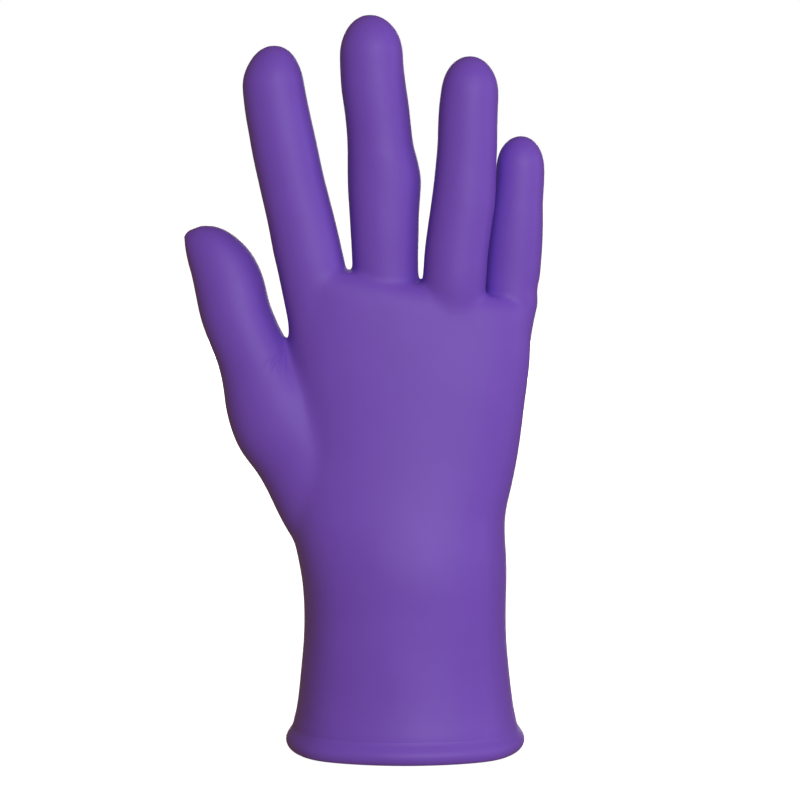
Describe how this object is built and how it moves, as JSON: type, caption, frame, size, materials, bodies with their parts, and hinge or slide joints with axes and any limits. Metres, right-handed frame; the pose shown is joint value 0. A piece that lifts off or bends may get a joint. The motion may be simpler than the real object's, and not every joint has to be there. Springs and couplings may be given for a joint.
{
  "type": "disposable glove",
  "caption": "Disposable nitrile examination glove for the right hand, with a rolled cuff edge and bending fingers, thumb and wrist.",
  "frame": {"origin": "centre of the cuff's open mouth, at the lower face of its rolled bead", "axes": "+Z from the cuff to the fingertips, -Y out of the back of the hand, +Y out of the palm, -X towards the thumb"},
  "size_m": [0.1178, 0.0624, 0.2399],
  "materials": {
    "nitrile_film": "satin",
    "rolled_bead": "satin"
  },
  "bodies": {
    "cuff": {"cuff_bead": "rolled_bead", "cuff_sleeve": "nitrile_film", "wrist_band": "nitrile_film"},
    "hand": {"hand_shell": "nitrile_film", "knuckle_band": "nitrile_film", "thumb_root_band": "nitrile_film"},
    "finger_base": {"finger_web": "nitrile_film", "index_root_band": "nitrile_film", "middle_root_band": "nitrile_film", "ring_root_band": "nitrile_film", "little_root_band": "nitrile_film"},
    "index_base": {"index_base_sleeve": "nitrile_film", "index_middle_band": "nitrile_film"},
    "index_middle": {"index_middle_sleeve": "nitrile_film", "index_tip_band": "nitrile_film"},
    "index_tip": {"index_tip_cap": "nitrile_film"},
    "middle_base": {"middle_base_sleeve": "nitrile_film", "middle_middle_band": "nitrile_film"},
    "middle_middle": {"middle_middle_sleeve": "nitrile_film", "middle_tip_band": "nitrile_film"},
    "middle_tip": {"middle_tip_cap": "nitrile_film"},
    "ring_base": {"ring_base_sleeve": "nitrile_film", "ring_middle_band": "nitrile_film"},
    "ring_middle": {"ring_middle_sleeve": "nitrile_film", "ring_tip_band": "nitrile_film"},
    "ring_tip": {"ring_tip_cap": "nitrile_film"},
    "little_base": {"little_base_sleeve": "nitrile_film", "little_middle_band": "nitrile_film"},
    "little_middle": {"little_middle_sleeve": "nitrile_film", "little_tip_band": "nitrile_film"},
    "little_tip": {"little_tip_cap": "nitrile_film"},
    "thumb": {"thumb_sleeve": "nitrile_film", "thumb_tip_band": "nitrile_film"},
    "thumb_tip": {"thumb_tip_cap": "nitrile_film"}
  },
  "joints": [
    {"name": "wrist_bend", "type": "hinge", "parent": "cuff", "child": "hand", "pos_m": [0, 0, 0.06], "axis": [-1, 0, 0], "range_deg": [-25, 25], "stiffness_Nm_per_rad": 0.05, "deforming": ["wrist_band"]},
    {"name": "knuckle_bend", "type": "hinge", "parent": "hand", "child": "finger_base", "pos_m": [-0.0019, 0.0045, 0.14266], "axis": [-0.9863, 0, 0.165], "range_deg": [0, 60], "stiffness_Nm_per_rad": 0.02, "deforming": ["knuckle_band"]},
    {"name": "index_root_bend", "type": "hinge", "parent": "finger_base", "child": "index_base", "pos_m": [-0.03227, 0.00439, 0.16789], "axis": [-0.9781, 0, -0.2079], "range_deg": [0, 28], "stiffness_Nm_per_rad": 0.004, "deforming": ["index_root_band"]},
    {"name": "index_middle_bend", "type": "hinge", "parent": "index_base", "child": "index_middle", "pos_m": [-0.03614, 0.00439, 0.18608], "axis": [-0.9781, 0, -0.2079], "range_deg": [0, 80], "stiffness_Nm_per_rad": 0.003, "deforming": ["index_middle_band"]},
    {"name": "index_tip_bend", "type": "hinge", "parent": "index_middle", "child": "index_tip", "pos_m": [-0.04094, 0.00439, 0.20868], "axis": [-0.9781, 0, -0.2079], "range_deg": [0, 48], "stiffness_Nm_per_rad": 0.002, "deforming": ["index_tip_band"]},
    {"name": "middle_root_bend", "type": "hinge", "parent": "finger_base", "child": "middle_base", "pos_m": [-0.00677, 0.0045, 0.16402], "axis": [-0.998, 0, -0.0628], "range_deg": [0, 28], "stiffness_Nm_per_rad": 0.004, "deforming": ["middle_root_band"]},
    {"name": "middle_middle_bend", "type": "hinge", "parent": "middle_base", "child": "middle_middle", "pos_m": [-0.00814, 0.0045, 0.18596], "axis": [-0.998, 0, -0.0628], "range_deg": [0, 80], "stiffness_Nm_per_rad": 0.003, "deforming": ["middle_middle_band"]},
    {"name": "middle_tip_bend", "type": "hinge", "parent": "middle_middle", "child": "middle_tip", "pos_m": [-0.00991, 0.0045, 0.21401], "axis": [-0.998, 0, -0.0628], "range_deg": [0, 48], "stiffness_Nm_per_rad": 0.002, "deforming": ["middle_tip_band"]},
    {"name": "ring_root_bend", "type": "hinge", "parent": "finger_base", "child": "ring_base", "pos_m": [0.0164, 0.00416, 0.16034], "axis": [-0.9978, 0, 0.0663], "range_deg": [0, 28], "stiffness_Nm_per_rad": 0.004, "deforming": ["ring_root_band"]},
    {"name": "ring_middle_bend", "type": "hinge", "parent": "ring_base", "child": "ring_middle", "pos_m": [0.01769, 0.00416, 0.1798], "axis": [-0.9978, 0, 0.0663], "range_deg": [0, 80], "stiffness_Nm_per_rad": 0.003, "deforming": ["ring_middle_band"]},
    {"name": "ring_tip_bend", "type": "hinge", "parent": "ring_middle", "child": "ring_tip", "pos_m": [0.01931, 0.00416, 0.2042], "axis": [-0.9978, 0, 0.0663], "range_deg": [0, 48], "stiffness_Nm_per_rad": 0.002, "deforming": ["ring_tip_band"]},
    {"name": "little_root_bend", "type": "hinge", "parent": "finger_base", "child": "little_base", "pos_m": [0.03593, 0.00651, 0.15706], "axis": [-0.9982, 0, 0.0593], "range_deg": [0, 28], "stiffness_Nm_per_rad": 0.004, "deforming": ["little_root_band"]},
    {"name": "little_middle_bend", "type": "hinge", "parent": "little_base", "child": "little_middle", "pos_m": [0.03674, 0.00651, 0.1707], "axis": [-0.9982, 0, 0.0593], "range_deg": [0, 80], "stiffness_Nm_per_rad": 0.003, "deforming": ["little_middle_band"]},
    {"name": "little_tip_bend", "type": "hinge", "parent": "little_middle", "child": "little_tip", "pos_m": [0.03768, 0.00651, 0.18645], "axis": [-0.9982, 0, 0.0593], "range_deg": [0, 48], "stiffness_Nm_per_rad": 0.002, "deforming": ["little_tip_band"]},
    {"name": "thumb_root_bend", "type": "hinge", "parent": "hand", "child": "thumb", "pos_m": [-0.05191, 0.0085, 0.14078], "axis": [-0.9563, 0, -0.2924], "range_deg": [0, 18], "stiffness_Nm_per_rad": 0.004, "deforming": ["thumb_root_band"]},
    {"name": "thumb_tip_bend", "type": "hinge", "parent": "thumb", "child": "thumb_tip", "pos_m": [-0.05527, 0.0095, 0.15178], "axis": [-0.9563, 0, -0.2924], "range_deg": [0, 50], "stiffness_Nm_per_rad": 0.003, "deforming": ["thumb_tip_band"]}
  ],
  "couplings": [
    {"joint": "index_tip_bend", "follows": "index_middle_bend", "ratio": 0.6},
    {"joint": "middle_tip_bend", "follows": "middle_middle_bend", "ratio": 0.6},
    {"joint": "ring_tip_bend", "follows": "ring_middle_bend", "ratio": 0.6},
    {"joint": "little_tip_bend", "follows": "little_middle_bend", "ratio": 0.6}
  ]
}
